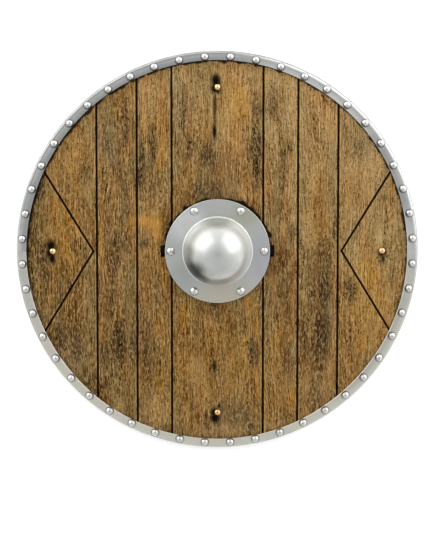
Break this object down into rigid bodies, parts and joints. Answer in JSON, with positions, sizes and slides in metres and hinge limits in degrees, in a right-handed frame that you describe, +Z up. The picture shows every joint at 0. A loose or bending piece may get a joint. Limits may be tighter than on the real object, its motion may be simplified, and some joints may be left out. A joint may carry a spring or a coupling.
{
  "type": "round wooden shield",
  "caption": "Round wooden shield with grooved board, folded steel rim set with dome-headed nails, riveted steel boss and a grip bar across the hand hole, lying on its back.",
  "frame": {"origin": "middle of the shield at its lowest face, the back of the rim, on which it lies", "axes": "+Z up and out of the face, along the middle of the boss; +Y towards the shield's top, along the straight grooves; +X to the right seen from the front, along the grip bar"},
  "size_m": [0.61, 0.61, 0.0706],
  "materials": {
    "board_wood": "golden brown stained board with a fine upright grain, dark pores and smudges, satin; grooves blackened",
    "satin_steel": "satin steel sheet, lightly handled",
    "bright_steel": "polished steel heads",
    "brass": "lightly dulled brass",
    "blackened_steel": "matt black"
  },
  "bodies": {
    "root": {"board": "board_wood", "rim": "satin_steel", "boss": "satin_steel", "grip_bar": "blackened_steel", "rim_nail_01": "bright_steel", "rim_nail_02": "bright_steel", "rim_nail_03": "bright_steel", "rim_nail_04": "bright_steel", "rim_nail_05": "bright_steel", "rim_nail_06": "bright_steel", "rim_nail_07": "bright_steel", "rim_nail_08": "bright_steel", "rim_nail_09": "bright_steel", "rim_nail_10": "bright_steel", "rim_nail_11": "bright_steel", "rim_nail_12": "bright_steel", "rim_nail_13": "bright_steel", "rim_nail_14": "bright_steel", "rim_nail_15": "bright_steel", "rim_nail_16": "bright_steel", "rim_nail_17": "bright_steel", "rim_nail_18": "bright_steel", "rim_nail_19": "bright_steel", "rim_nail_20": "bright_steel", "rim_nail_21": "bright_steel", "rim_nail_22": "bright_steel", "rim_nail_23": "bright_steel", "rim_nail_24": "bright_steel", "rim_nail_25": "bright_steel", "rim_nail_26": "bright_steel", "rim_nail_27": "bright_steel", "rim_nail_28": "bright_steel", "rim_nail_29": "bright_steel", "rim_nail_30": "bright_steel", "rim_nail_31": "bright_steel", "rim_nail_32": "bright_steel", "rim_nail_33": "bright_steel", "rim_nail_34": "bright_steel", "rim_nail_35": "bright_steel", "rim_nail_36": "bright_steel", "rim_nail_37": "bright_steel", "rim_nail_38": "bright_steel", "rim_nail_39": "bright_steel", "rim_nail_40": "bright_steel", "rim_nail_41": "bright_steel", "rim_nail_42": "bright_steel", "rim_nail_43": "bright_steel", "rim_nail_44": "bright_steel", "rim_nail_45": "bright_steel", "rim_nail_46": "bright_steel", "rim_nail_47": "bright_steel", "rim_nail_48": "bright_steel", "boss_rivet_1": "bright_steel", "boss_rivet_2": "bright_steel", "boss_rivet_3": "bright_steel", "boss_rivet_4": "bright_steel", "brass_nail_right": "brass", "brass_nail_top": "brass", "brass_nail_left": "brass", "brass_nail_bottom": "brass"}
  },
  "joints": []
}
